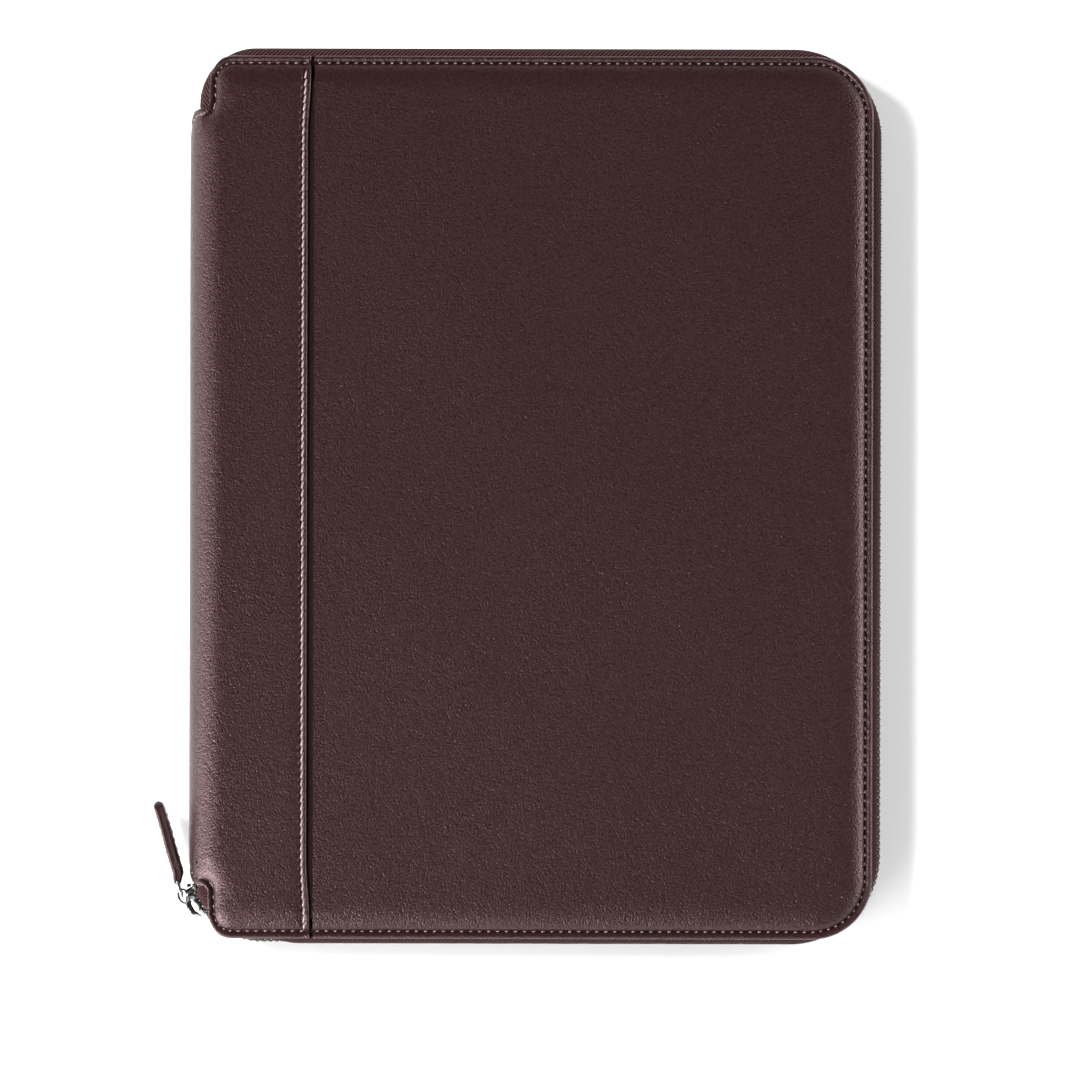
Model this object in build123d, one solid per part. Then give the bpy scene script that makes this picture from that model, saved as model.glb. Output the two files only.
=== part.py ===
from build123d import *
import os
from math import cos, radians, sin

# A zip-around leather portfolio case, lying on its back cover.
# +X runs from the spine to the zipped fore edge, +Y along the spine, +Z up.
# The origin is the middle of the back cover's outer face. Millimetres.

# Covers
case_thickness = 25.0
leather = 1.2
spine_x = -129.0            # outermost line of the rounded spine
fore_edge_x = 129.0         # leather edge at the zipped side
cover_half_length = 166.4
corner_left_x = spine_x + 7.7
fore_corner_radius = 19.0
spine_corner_radius = 10.6
rim_width = 5.0             # flat sewn rim around each padded cover
rim_depth = 2.7             # how far the rim lies below the padded face

# Layers, as depths below a cover's outer face
pocket_lining_depth = (1.5, 2.0)
front_foam_depth = (2.0, 2.8)
back_foam_depth = (1.2, 2.8)
board_depth = (2.8, 4.4)
lining_depth = (4.5, 5.0)
pocket_depth = (5.3, 6.2)
foam_inset = 6.6
board_inset = 8.5
lining_inset = 0.8

# Spine: a half-round wrap with one crease at 45 degrees on each side
spine_radius = case_thickness / 2
spine_half_length = 145.5
notch = 2.0                 # gap between the spine's end and the corner of a cover
crease = 45.0
spine_axis_x = spine_x + spine_radius
zip_z = case_thickness / 2
stay_radii = (8.1, 11.2)
lining_radii = (7.5, 8.0)
lining_half_length = 143.0

# Slip pocket opening in the front cover
flank_edge_x = spine_x + 45.3
pocket_edge_x = spine_x + 47.2

# Zip: the tape's wall stands on this line, with the coil outside it
zip_right, zip_top, zip_bottom = 130.5, 167.2, -166.2
zip_fore_radius = 20.5
zip_slider_radius = 28.2
zip_slider_centre_x = -101.0
zip_far_radius = 19.0
zip_far_centre_x = -104.0
zip_first_angle = 16.0      # where the slider end of the chain starts, past the spine
split_x = zip_slider_centre_x
tape = 0.6
tape_seam = 9.5             # width of tape sewn under the rim
coil_outer = 1.5
half_gap = 0.6              # from the middle of the chain to either coil strip
coil_width = 2.4
tape_end_clearance = 0.1

# Slider, link and leather puller
slider_angle = 30.0
slider_length, slider_width, plate = 12.0, 9.6, 1.1
outer_plate_y, inner_plate_y = 2.1, -2.4
link_wire = 0.6
link_bore = 0.68
link_length = 6.0
link_half_width = 3.9
link_x, link_y = 4.0, 4.7   # link axis in the slider's own frame
puller_direction = 106.8
puller_length, puller_width, puller_thickness = 31.0, 9.0, 2.6
neck_half_width = 3.1

# Fittings inside
sleeve_x = (-98.5, 119.0)
sleeve_y = (-157.0, 30.0)
document_y = (-157.0, 70.0)
pocket_seam = 4.0
card_x = (0.0, 96.0)
card_bottom = -62.0
card_tops = (8.0, -8.0, -24.0)
card_panel = 0.7
pen_x, pen_radius, pen_wall, pen_length = -106.0, 5.5, 1.0, 32.0
pen_y = 20.0


def block(x, y, z):
    """A box between two limits along each axis."""
    size = Box(x[1] - x[0], y[1] - y[0], z[1] - z[0], align=(Align.MIN,) * 3)
    return Pos(x[0], y[0], z[0]) * size


def prism(face, bottom, top):
    """A flat face in the XY plane, raised between two heights."""
    return extrude(Pos(0, 0, bottom) * face, top - bottom)


def flipped(solid):
    """The same piece on the front cover: mirrored in the plane of the zip."""
    return mirror(solid, about=Plane.XY.offset(case_thickness / 2))


def cover_outline(inset):
    """A cover seen from above, inside its leather edge by an inset."""
    left, right = corner_left_x + inset, fore_edge_x - inset
    plate_face = Pos((left + right) / 2, 0) * Rectangle(right - left, 2 * (cover_half_length - inset))
    fore = plate_face.vertices().sort_by(Axis.X)[2:]
    plate_face = fillet(fore, fore_corner_radius - inset)
    back = plate_face.vertices().sort_by(Axis.X)[:2]
    return fillet(back, spine_corner_radius - inset)


def spine_arc(radii, start, end, half_length):
    """Part of a tube about the spine's axis, between two angles from +X towards +Z."""
    inner, outer = radii
    outside = CenterArc((0, 0), outer, start, end - start)
    inside = CenterArc((0, 0), inner, start, end - start)
    section = make_face([outside, inside, Line(inside @ 0, outside @ 0), Line(inside @ 1, outside @ 1)])
    axis = Plane((spine_axis_x, 0, zip_z), x_dir=(1, 0, 0), z_dir=(0, -1, 0))
    return extrude(axis * section, half_length, both=True)


def cover_leather():
    """One cover's leather: a padded face, a lower sewn rim and half of the spine's turn."""
    rim_end = rim_depth + leather
    past_spine = (corner_left_x - 1, spine_axis_x)
    rim = prism(cover_outline(0), rim_depth, rim_end)
    rim -= block(past_spine, (-spine_half_length - notch, spine_half_length + notch), (0, rim_end))
    raised = prism(cover_outline(rim_width), 0, rim_end)
    raised = fillet(raised.edges().group_by(Axis.Z)[0], leather)
    hollow = prism(cover_outline(rim_width + leather), leather, rim_end)
    hollow += block((spine_axis_x, spine_axis_x + 10), (-spine_half_length, spine_half_length), (leather, rim_end))
    edge = (-spine_half_length, spine_half_length)
    face_strip = block((spine_axis_x, spine_axis_x + 2 * leather), edge, (0, leather))
    turn = spine_arc((spine_radius - leather, spine_radius), 180 + crease, 270, spine_half_length)
    return rim + raised - hollow + face_strip + turn


def zip_curve(offset):
    """The zip's line round three sides, moved outwards by an offset."""
    near = zip_bottom + zip_slider_radius
    corners = [
        ((zip_slider_centre_x, near), zip_slider_radius, 180 + zip_first_angle, 90 - zip_first_angle),
        ((zip_right - zip_fore_radius, zip_bottom + zip_fore_radius), zip_fore_radius, 270, 90),
        ((zip_right - zip_fore_radius, zip_top - zip_fore_radius), zip_fore_radius, 0, 90),
        ((zip_far_centre_x, zip_top - zip_far_radius), zip_far_radius, 90, 90),
    ]
    arcs = [CenterArc(centre, radius + offset, start, sweep) for centre, radius, start, sweep in corners]
    runs = [Line(one @ 1, other @ 0) for one, other in zip(arcs, arcs[1:])]
    return arcs, runs


def zip_band(inner, outer):
    """A flat band between two offsets from the zip's line."""
    inside_arcs, inside_runs = zip_curve(inner)
    outside_arcs, outside_runs = zip_curve(outer)
    first = Line(inside_arcs[0] @ 0, outside_arcs[0] @ 0)
    last = Line(inside_arcs[-1] @ 1, outside_arcs[-1] @ 1)
    return make_face(inside_arcs + inside_runs + outside_arcs + outside_runs + [first, last])


fore_side = block((split_x, 200), (-200, 200), (-10, 60))
spine_side = block((-200, split_x), (-200, 200), (-10, 60))


def zip_tape():
    """The back cover's tape: sewn under the rim all round, standing up beyond the corners."""
    seam_start = rim_depth + leather
    wall = prism(zip_band(-tape / 2, tape / 2), seam_start, zip_z - half_gap) & fore_side
    seam = prism(zip_band(-tape_seam, tape / 2), seam_start, seam_start + tape)
    seam -= prism(cover_outline(board_inset - 0.3), 0, zip_z)
    at_spine = seam & spine_side & prism(cover_outline(0.3), 0, zip_z)
    clear_of_spine = (-spine_half_length - 0.7, spine_half_length + 0.7)
    at_spine -= block((spine_x, spine_axis_x + 10), clear_of_spine, (0, zip_z))
    return (seam & fore_side) + wall + at_spine


def zip_tape_ends():
    """The tape at both spine corners, above the lining, free to turn with the spine."""
    bottom = lining_depth[1] + tape_end_clearance
    return prism(zip_band(-tape / 2, tape / 2), bottom, zip_z - half_gap) & spine_side


def zip_coil():
    """The coil strip on the back cover's tape, all the way round."""
    top = zip_z - half_gap
    return prism(zip_band(tape / 2, coil_outer), top - coil_width, top)


def on_zip(angle, centre_x, centre_y, radius, side):
    """A frame on a spine corner of the zip: x towards the spine, y outwards."""
    turn = radians(angle)
    outward = (-cos(turn), side * sin(turn))
    towards_spine = (-sin(turn), -side * cos(turn))
    origin = (centre_x + radius * outward[0], centre_y + radius * outward[1], zip_z)
    if side < 0:
        return Plane(origin, x_dir=(*towards_spine, 0), z_dir=(0, 0, 1))
    return Plane(origin, x_dir=(-towards_spine[0], -towards_spine[1], 0), z_dir=(0, 0, 1))


def on_slider_corner(angle):
    return on_zip(angle, zip_slider_centre_x, zip_bottom + zip_slider_radius, zip_slider_radius, -1)


def on_far_corner(angle):
    return on_zip(angle, zip_far_centre_x, zip_top - zip_far_radius, zip_far_radius, 1)


def sewn_pocket(x, y, depth):
    """A pocket panel on the back cover's lining, sewn down on three sides."""
    base = lining_depth[1]
    seam = block(x, y, (base, depth[0]))
    seam -= block((x[0] + pocket_seam, x[1] - pocket_seam), (y[0] + pocket_seam, y[1] + 1), (base, depth[0]))
    return seam + block(x, y, depth)


def covered(inset, depth):
    """A flat layer in the back cover."""
    return prism(cover_outline(inset), *depth)


def cover_lining():
    """The back cover's lining with its quarter of the spine's turn."""
    flat = covered(lining_inset, lining_depth)
    end = spine_half_length + notch
    flat -= block((corner_left_x, spine_axis_x), (-end, end), (0, zip_z))
    turn = spine_arc(lining_radii, 180 + crease, 270, lining_half_length)
    strip = block((spine_axis_x, spine_axis_x + 1), (-lining_half_length, lining_half_length), lining_depth)
    return flat + strip + turn


def pen_loop():
    """A stitched loop lying on the back cover's lining, open at both ends."""
    base = lining_depth[1]
    outside = pen_radius + pen_wall
    ring = Circle(outside) - Circle(pen_radius)
    loop = extrude(Plane.XZ * ring, pen_length / 2, both=True)
    tab = block((0, 5.0), (-pen_length / 2, pen_length / 2), (-outside, -outside + pen_wall))
    tab -= extrude(Plane.XZ * Circle(pen_radius), pen_length, both=True)
    return Pos(pen_x, pen_y, base + outside) * (loop + tab)


def slider_body():
    """Two plates joined by a blade at the nose, and a bridge for the link."""
    half = slider_length / 2
    side = slider_width / 2
    leaf = fillet(Rectangle(slider_length, slider_width).vertices(), 2.6)
    upright = Plane((0, 0, 0), x_dir=(1, 0, 0), z_dir=(0, 1, 0))
    outer = extrude(upright.offset(outer_plate_y) * leaf, plate)
    inner = extrude(upright.offset(inner_plate_y) * leaf, plate)
    lips = [
        block((-half + 2.6, half - 2.6), (coil_outer - 0.5, outer_plate_y), (low, low + 0.9))
        for low in (-side, side - 0.9)
    ]
    blade = block((2.2, 5.2), (inner_plate_y, outer_plate_y + plate), (-half_gap + 0.1, half_gap - 0.1))
    face = outer_plate_y + plate
    bridge = block((link_x - 1.6, link_x + 1.6), (face, link_y + 1.5), (-2.5, 2.5))
    bridge -= Pos(link_x, link_y, 0) * Cylinder(link_bore, 6)
    body = outer + inner + lips[0] + lips[1] + blade + bridge
    return on_slider_corner(slider_angle) * body


link_axis = on_slider_corner(slider_angle) * Pos(link_x, link_y, 0)
link_direction = (cos(radians(puller_direction)), sin(radians(puller_direction)), 0)
link_frame = Plane(tuple(link_axis.position), x_dir=link_direction, z_dir=(0, 0, 1))
puller_frame = link_frame * Pos(link_length, 0, 0)


def pull_link():
    """A rectangular wire ring through the slider's bridge."""
    uprights = [Pos(x, 0, 0) * Cylinder(link_wire, 2 * link_half_width) for x in (0, link_length)]
    rail = Rot(0, 90, 0) * Cylinder(link_wire, link_length)
    heights = (-link_half_width, link_half_width)
    rails = [Pos(link_length / 2, 0, z) * rail for z in heights]
    corners = [Pos(x, 0, z) * Sphere(link_wire) for x in (0, link_length) for z in heights]
    ring = uprights[0]
    for piece in uprights[1:] + rails + corners:
        ring += piece
    return link_frame * ring


def leather_puller():
    """A folded leather strap with a rounded end, looped over the link."""
    half = puller_width / 2
    upright = Plane((0, 0, 0), x_dir=(1, 0, 0), z_dir=(0, 1, 0))
    loop_end = -puller_thickness / 2
    strap = fillet(Rectangle(puller_length - 2, puller_width).vertices(), 2.0)
    strap = Pos((puller_length + 2) / 2, 0) * strap
    neck = Pos((loop_end + 6) / 2, 0) * Rectangle(6 - loop_end, 2 * neck_half_width)
    body = extrude(upright.offset(-puller_thickness / 2) * (strap + neck), puller_thickness)
    ends = body.edges().filter_by(Axis.Z).sort_by(Axis.X)[:2]
    body = fillet(ends, puller_thickness / 2 - 0.05)
    return puller_frame * (body - Cylinder(link_bore, 2 * puller_width))


def zip_stops(frames, low, high):
    """Small metal clips over the coil's edge."""
    clip = block((-0.6, 0.6), (tape / 2, coil_outer + 0.2), (low, high))
    return [frame * clip for frame in frames]


shell = cover_leather()
front_shell = flipped(shell)
left_of_slot = block((-200, flank_edge_x), (-200, 200), (-10, 60))
right_of_slot = block((pocket_edge_x, 200), (-200, 200), (-10, 60))
document_pocket = flipped(sewn_pocket(sleeve_x, document_y, pocket_depth))
coil_back = zip_coil()
coil_front = flipped(coil_back)
past_stops = on_slider_corner(zip_first_angle + 2.5)
stop_room = past_stops * block((-0.9, 8), (-3, 3), (-8, 8))
far_room = on_far_corner(2.0) * block((-8, 1.6), (-3, 3), (-8, 8))
clear_coils = spine_side - stop_room - far_room

parts = {
    "back_leather": shell,
    "back_foam": covered(foam_inset, back_foam_depth),
    "back_board": covered(board_inset, board_depth),
    "back_lining": cover_lining(),
    "pad_sleeve": sewn_pocket(sleeve_x, sleeve_y, pocket_depth),
    "pen_loop": pen_loop(),
    "zip_tape_back": zip_tape(),
    "zip_coil_back": coil_back & fore_side,
    "front_flank_leather": front_shell & left_of_slot,
    "front_pocket_panel": front_shell & right_of_slot,
    "front_pocket_lining": flipped(covered(foam_inset, pocket_lining_depth)),
    "front_foam": flipped(covered(foam_inset, front_foam_depth)),
    "front_board": flipped(covered(board_inset, board_depth)),
    "front_lining": flipped(cover_lining()),
    "document_pocket": document_pocket,
    "zip_tape_front": flipped(zip_tape()),
    "zip_coil_front": coil_front & fore_side,
    "spine_leather": spine_arc((spine_radius - leather, spine_radius), 180 - crease, 180 + crease,
                               spine_half_length),
    "spine_stay": spine_arc(stay_radii, 180 - crease, 180 + crease, lining_half_length),
    "spine_lining": spine_arc(lining_radii, 180 - crease, 180 + crease, lining_half_length),
    "zip_tape_back_ends": zip_tape_ends(),
    "zip_tape_front_ends": flipped(zip_tape_ends()),
    "zip_coil_back_ends": coil_back & clear_coils,
    "zip_coil_front_ends": coil_front & clear_coils,
    "slider_body": slider_body(),
    "pull_link": pull_link(),
    "leather_puller": leather_puller(),
}
for number, top in enumerate(card_tops):
    start = pocket_depth[1] + number * card_panel
    panel = block(card_x, (card_bottom, top), (start, start + card_panel))
    parts[f"card_slot_{number + 1}"] = flipped(panel)

stop_frames = [on_slider_corner(zip_first_angle + 1.5)]
top_stops = zip_stops(stop_frames, half_gap, half_gap + coil_width)
top_stops += zip_stops(stop_frames, -half_gap - coil_width, -half_gap)
parts["zip_top_stops"] = Compound(children=top_stops)
parts["zip_bottom_stop"] = zip_stops([on_far_corner(2.0)], -half_gap - coil_width, half_gap + coil_width)[0]

os.makedirs("parts", exist_ok=True)
for name, solid in parts.items():
    export_step(solid, f"parts/{name}.step")
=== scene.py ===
from math import atan2, cos, pi, radians, sin, sqrt, tan

import bpy
import numpy as np
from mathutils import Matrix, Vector
from mathutils.geometry import delaunay_2d_cdt


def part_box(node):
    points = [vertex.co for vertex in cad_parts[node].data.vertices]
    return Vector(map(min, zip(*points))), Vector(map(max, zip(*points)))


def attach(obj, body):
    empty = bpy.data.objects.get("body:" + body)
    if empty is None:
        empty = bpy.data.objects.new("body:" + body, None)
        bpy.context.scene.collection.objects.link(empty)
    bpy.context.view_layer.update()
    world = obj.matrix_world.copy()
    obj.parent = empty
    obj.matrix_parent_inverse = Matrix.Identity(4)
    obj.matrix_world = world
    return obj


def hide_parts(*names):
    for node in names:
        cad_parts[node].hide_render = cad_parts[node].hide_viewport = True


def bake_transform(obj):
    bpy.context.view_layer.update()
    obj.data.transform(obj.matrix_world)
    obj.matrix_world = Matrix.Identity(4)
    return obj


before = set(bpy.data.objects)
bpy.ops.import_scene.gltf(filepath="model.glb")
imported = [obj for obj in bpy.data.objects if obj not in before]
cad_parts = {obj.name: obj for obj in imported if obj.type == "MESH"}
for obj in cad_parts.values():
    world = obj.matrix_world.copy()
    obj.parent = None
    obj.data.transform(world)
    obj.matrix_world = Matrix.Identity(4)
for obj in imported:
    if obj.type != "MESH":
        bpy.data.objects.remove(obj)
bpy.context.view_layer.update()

MM = 0.001
RNG = np.random.default_rng(7)


# ---------------------------------------------------------------- the frame, in millimetres
def box_mm(node):
    low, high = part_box(node)
    return np.array(low) / MM, np.array(high) / MM


PANEL_LOW, PANEL_HIGH = box_mm("front_pocket_panel")
SPINE_X = box_mm("spine_leather")[0][0]
SPINE_END = box_mm("spine_leather")[1][1]
FLANK_EDGE = box_mm("front_flank_leather")[1][0]
POCKET_EDGE = PANEL_LOW[0]
FORE_X, COVER_END, CASE_TOP = PANEL_HIGH
COIL_LOW, COIL_HIGH = box_mm("zip_coil_front")
MID_Z = CASE_TOP / 2
SPINE_RADIUS = MID_Z
AXIS_X = SPINE_X + SPINE_RADIUS
MID_U = AXIS_X - SPINE_RADIUS * pi / 2       # unrolled place of the middle of the spine
CORNER_X = SPINE_X + 5.9                     # left edge of the covers past the spine's ends
FORE_RADIUS, SPINE_CORNER_RADIUS = 23.0, 10.6
LINING_RADIUS = MID_Z - box_mm("back_lining")[0][2]

# ---------------------------------------------------------------- sewing
PITCH, SEAM_PITCH = 3.4, 3.03                # stitch lengths
STEP = PITCH / 6                             # spacing of points along a sewn edge
STITCH_INSET = 2.8
RIM_DROP, CREASE_DROP, PAD_WIDTH = 2.35, 2.8, 2.3
RIM_ROWS = (0, 0.05, 0.18, 0.4, 0.75, 1.2, 1.7, 2.15, 2.5, 2.8, 3.1, 3.45, 3.9, 4.5, 5.3, 6.3, 7.6, 9.2)


def smooth(t):
    t = np.clip(t, 0, 1)
    return t * t * (3 - 2 * t)


# ---------------------------------------------------------------- meshes
def mesh_object(name, points, faces, material, uv=None, smooth_shading=True):
    """A mesh from points in millimetres, with an optional UV for each point."""
    mesh = bpy.data.meshes.new(name)
    mesh.from_pydata((np.asarray(points) * MM).tolist(), [], [list(map(int, f)) for f in faces])
    mesh.validate()
    if smooth_shading:
        mesh.shade_smooth()
    if uv is not None:
        layer = mesh.uv_layers.new(name="UVMap")
        index = np.zeros(len(mesh.loops), int)
        mesh.loops.foreach_get("vertex_index", index)
        layer.data.foreach_set("uv", (np.asarray(uv)[index] * MM).astype(np.float32).ravel())
    mesh.materials.append(material)
    obj = bpy.data.objects.new(name, mesh)
    bpy.context.scene.collection.objects.link(obj)
    return obj


def grid_faces(rows, columns, close_rows=False, close_columns=False):
    """Quads over a grid of points stored row by row."""
    r = np.arange(rows if close_rows else rows - 1)
    c = np.arange(columns if close_columns else columns - 1)
    r, c = (a.ravel() for a in np.meshgrid(r, c, indexing="ij"))
    r2, c2 = (r + 1) % rows, (c + 1) % columns
    return np.stack([r * columns + c, r * columns + c2, r2 * columns + c2, r2 * columns + c], 1)


def capped_faces(rows, columns):
    """Quads over closed rows, with a cap at each end."""
    faces = grid_faces(rows, columns, close_columns=True).tolist()
    return faces + [list(range(columns)), list(range((rows - 1) * columns, rows * columns))[::-1]]


def joined(parts):
    """Several (points, faces) in one."""
    points, faces, start = [], [], 0
    for p, f in parts:
        points.append(np.asarray(p))
        faces.extend((np.asarray(f) + start).tolist() if isinstance(f, np.ndarray)
                     else [[i + start for i in face] for face in f])
        start += len(p)
    return np.vstack(points), faces


# ---------------------------------------------------------------- outlines in the flat pattern
def rounded_path(corners, radii, closed=False):
    """A polyline whose corners are arcs, as close-set points."""
    corners = [np.array(c, float) for c in corners]
    n = len(corners)
    path = [] if closed else [corners[0]]
    middle = range(n) if closed else range(1, n - 1)
    for i, radius in zip(middle, radii):
        before, here, after = corners[i - 1], corners[i], corners[(i + 1) % n]
        back = (before - here) / np.linalg.norm(before - here)
        on = (after - here) / np.linalg.norm(after - here)
        half = np.arccos(np.clip(back @ on, -1, 1)) / 2
        reach = radius / tan(half)
        centre = here + (back + on) / np.linalg.norm(back + on) * radius / sin(half)
        first, last = here + back * reach, here + on * reach
        a0, a1 = (atan2(*(p - centre)[::-1]) for p in (first, last))
        sweep = (a1 - a0 + pi) % (2 * pi) - pi
        for t in np.linspace(0, 1, 25):
            angle = a0 + sweep * t
            path.append(centre + radius * np.array([cos(angle), sin(angle)]))
    path.append(path[0] if closed else corners[-1])
    return np.array(path)


def lengths_along(path):
    return np.concatenate([[0], np.cumsum(np.linalg.norm(np.diff(path, axis=0), axis=1))])


def grid_points(across, along):
    """Every pairing of two lists of coordinates, row by row."""
    return np.stack([a.ravel() for a in np.meshgrid(across, along, indexing="ij")], 1)


def evenly(path, step):
    """The same path at an even spacing, with its lengths."""
    run = lengths_along(path)
    count = max(2, round(run[-1] / step))
    s = np.linspace(0, run[-1], count + 1)
    return np.stack([np.interp(s, run, path[:, k]) for k in (0, 1)], 1), s


def inward(points):
    """Unit normals to the left of a path."""
    along = np.gradient(points, axis=0)
    along /= np.linalg.norm(along, axis=1)[:, None]
    return np.stack([-along[:, 1], along[:, 0]], 1)


class Pattern:
    """A flat pattern piece: points with their distance from each kind of edge."""

    def __init__(self):
        self.points, self.faces, self.count = [], [], 0

    def add(self, u, v, rim, run, slot, faces):
        columns = [np.broadcast_to(a, np.shape(u)).ravel() for a in (u, v, rim, run, slot)]
        self.points.append(np.stack(columns, 1))
        self.faces.append(np.asarray(faces) + self.count)
        self.count += np.size(u)

    def finish(self):
        """Merges the points that patches share."""
        points = np.vstack(self.points)
        _, keep, where = np.unique(np.round(points[:, :2], 3), axis=0, return_index=True, return_inverse=True)
        faces = [where.ravel()[f] for patch in self.faces for f in patch]
        return points[keep], faces


FAR = 1e3                                    # stands for "no such edge near here"


def strip(pattern, path, rows, slot_of=None):
    """A band of quads along a sewn edge; returns its innermost points."""
    points, run = path
    normal = inward(points)
    normal[0], normal[-1] = np.round(normal[0]), np.round(normal[-1])
    d = np.array(rows)[:, None]
    u = points[None, :, 0] + normal[None, :, 0] * d
    v = points[None, :, 1] + normal[None, :, 1] * d
    slot = FAR if slot_of is None else np.abs(u - slot_of)
    pattern.add(u, v, d, run[None, :], slot, grid_faces(len(rows), len(run)))
    return np.stack([u[-1], v[-1]], 1)


def fill(pattern, loop, spacing, turn_limit=None, slot_of=None):
    """Triangles inside a loop of points, with a grid of points between."""
    low, high = loop.min(0), loop.max(0)
    columns = np.arange(low[0] + spacing / 2, high[0], spacing)
    if turn_limit is not None:
        columns = np.concatenate([np.arange(low[0] + 0.9, turn_limit, 1.0),
                                  np.arange(turn_limit + 0.5, high[0], spacing)])
    rows = np.arange(low[1] + spacing / 2, high[1], spacing)
    grid = grid_points(columns, rows)
    grid = grid[inside(grid, loop, 0.8)]
    n = len(loop)
    vectors = [Vector(p) for p in np.vstack([loop, grid]).tolist()]
    edges = [(i, (i + 1) % n) for i in range(n)]
    got = delaunay_2d_cdt(vectors, edges, [], 1, 1e-6)
    points = np.array([tuple(p) for p in got[0]])
    slot = FAR if slot_of is None else np.abs(points[:, 0] - slot_of)
    pattern.add(points[:, 0], points[:, 1], FAR, 0.0, slot, np.array(got[2]))


def inside(points, loop, margin):
    """Which points lie within a loop and clear of it by a margin."""
    a, b = loop, np.roll(loop, -1, 0)
    result = np.zeros(len(points), bool)
    for i, (x, y) in enumerate(points):
        crosses = (a[:, 1] > y) != (b[:, 1] > y)
        at = a[:, 0] + (y - a[:, 1]) / np.where(crosses, b[:, 1] - a[:, 1], 1) * (b[:, 0] - a[:, 0])
        if np.count_nonzero(crosses & (x < at)) % 2:
            result[i] = ((a - (x, y)) ** 2).sum(1).min() > margin ** 2
    return result


# ---------------------------------------------------------------- bending a pattern round the spine
def wrapped(u, v, height, radius, side):
    """From the flat pattern to the case: flat cover, then the turn of the spine."""
    turn = np.maximum(AXIS_X - u, 0) / SPINE_RADIUS
    reach = radius + height
    x = np.maximum(u, AXIS_X) - reach * np.sin(turn)
    z = MID_Z + side * reach * np.cos(turn)
    return np.stack([x, np.broadcast_to(v, np.shape(x)), z], -1)


def placed(radius, side):
    """Places pattern points by their height over a face with this radius round the spine."""
    return lambda u, v, h: wrapped(u, v, h, radius, side)


def outer(side):
    return placed(SPINE_RADIUS, side)


def rim_depth(u):
    """How deep the sewn rim lies: full on the covers, shallow across the spine's ends."""
    return 0.15 + 0.85 * smooth((u - CORNER_X + 3.5) / 6.0)


def lie(u, v):
    """The slow unevenness of padded leather."""
    a = np.sin(u / 17.0 + 0.8) * np.sin(v / 23.0 + 0.3)
    b = np.sin(u / 31.0 - v / 41.0 + 1.1)
    c = np.sin(u / 9.0 + v / 14.0) * np.sin(v / 37.0)
    return 0.5 * a + 0.35 * b + 0.15 * c


def sewn_height(u, v, rim, run, lie_size, inset=STITCH_INSET):
    """Height of the leather's outer face: edge, rim, stitched crease, then padding."""
    depth = rim_depth(u)
    puff = 0.5 * np.sin(pi * np.clip(rim / inset, 0, 1)) ** 0.8
    flange = -(RIM_DROP + (CREASE_DROP - RIM_DROP) * smooth(rim / inset)) + puff
    pad = -CREASE_DROP * np.exp(-np.maximum(rim - inset, 0) / PAD_WIDTH)
    pad = np.where(rim > 60, 0.0, pad)
    height = np.where(rim < inset, flange, pad) * depth
    off = rim - inset
    hole = 0.5 + 0.5 * np.cos(2 * pi * run / PITCH)
    height -= 0.42 * np.exp(-(off / 0.42) ** 2) * (0.5 + 0.5 * hole)
    height += 0.07 * (0.5 - hole) * np.exp(-np.abs(off) / 1.4)
    return height + lie_size * lie(u, v) * smooth((rim - 3) / 12)


SEAM_INSET = 2.1


def slot_height(slot, run, soft):
    """The leather's edge at the pocket opening: a stitched fold, or the plain edge beside it."""
    if soft:
        return np.zeros(np.shape(slot))
    phase = run / SEAM_PITCH
    hole = 0.5 + 0.5 * np.cos(2 * pi * phase)
    off = slot - SEAM_INSET
    groove = -0.26 * np.exp(-(off / 0.45) ** 2) * (0.45 + 0.55 * hole)
    ridge = 0.2 * np.exp(-((slot - 1.0) / 0.45) ** 2)
    turn = (phase + 0.1) % 1 - 0.5
    pit = -1.1 * np.exp(-((off - 0.8) / 0.4) ** 2 - ((np.abs(turn) - 0.5) / 0.2) ** 2)
    swell = 0.25 * smooth((slot - SEAM_INSET) / 6) - 0.25
    return np.where(slot < 20, groove + ridge + pit, 0) + swell * np.exp(-slot / 30)


def closed_sheet(pattern, top, bottom, shared, place, uv):
    """A closed solid from a flat pattern: an outer face, an inner face and the edges between."""
    points, faces = pattern
    n = len(points)
    under = np.where(shared, np.arange(n), np.arange(n) + n)
    outer = place(points[:, 0], points[:, 1], top)
    inner = place(points[:, 0], points[:, 1], bottom)
    everything = [list(f) for f in faces] + [list(under[f][::-1]) for f in faces]
    seen = {}
    for f in faces:
        for a, b in zip(f, np.roll(f, -1)):
            seen[(a, b)] = 1
    for a, b in seen:
        if (b, a) not in seen and not (shared[a] and shared[b]):
            wall = [b, a, under[a], under[b]]
            everything.append([i for k, i in enumerate(wall) if i not in wall[:k]])
    used = np.zeros(2 * n, bool)
    for f in everything:
        used[f] = True
    new = np.cumsum(used) - 1
    both = np.vstack([outer, inner])[used]
    flat = np.vstack([uv, uv])[used]
    return both, [new[f] for f in everything], flat


def rounding(distance, radius):
    """How far a rounded edge falls away at a distance in from it."""
    t = np.clip((radius - distance) / radius, 0, 1)
    return radius * (1 - np.sqrt(1 - t * t))


# ---------------------------------------------------------------- the leather covers
OVERLAP = 1.2            # each half of the spine leather passes under the other by this much


def spine_side_corners():
    """Outline from the middle of the spine, round the notch and the corner, to the long rim."""
    return [(MID_U - OVERLAP, SPINE_END - 3.0), (AXIS_X - 18.3, SPINE_END - 3.0),
            (AXIS_X - 14.0, SPINE_END + 0.2), (AXIS_X - 9.5, SPINE_END + 1.2),
            (CORNER_X, SPINE_END + 1.4), (CORNER_X + 0.7, COVER_END)]


SPINE_SIDE_RADII = (3.0, 5.0, 5.0, 2.1, SPINE_CORNER_RADIUS)


def under_overlap(u):
    return 0.06 * np.clip((MID_U - u) / OVERLAP, 0, 1)


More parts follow.
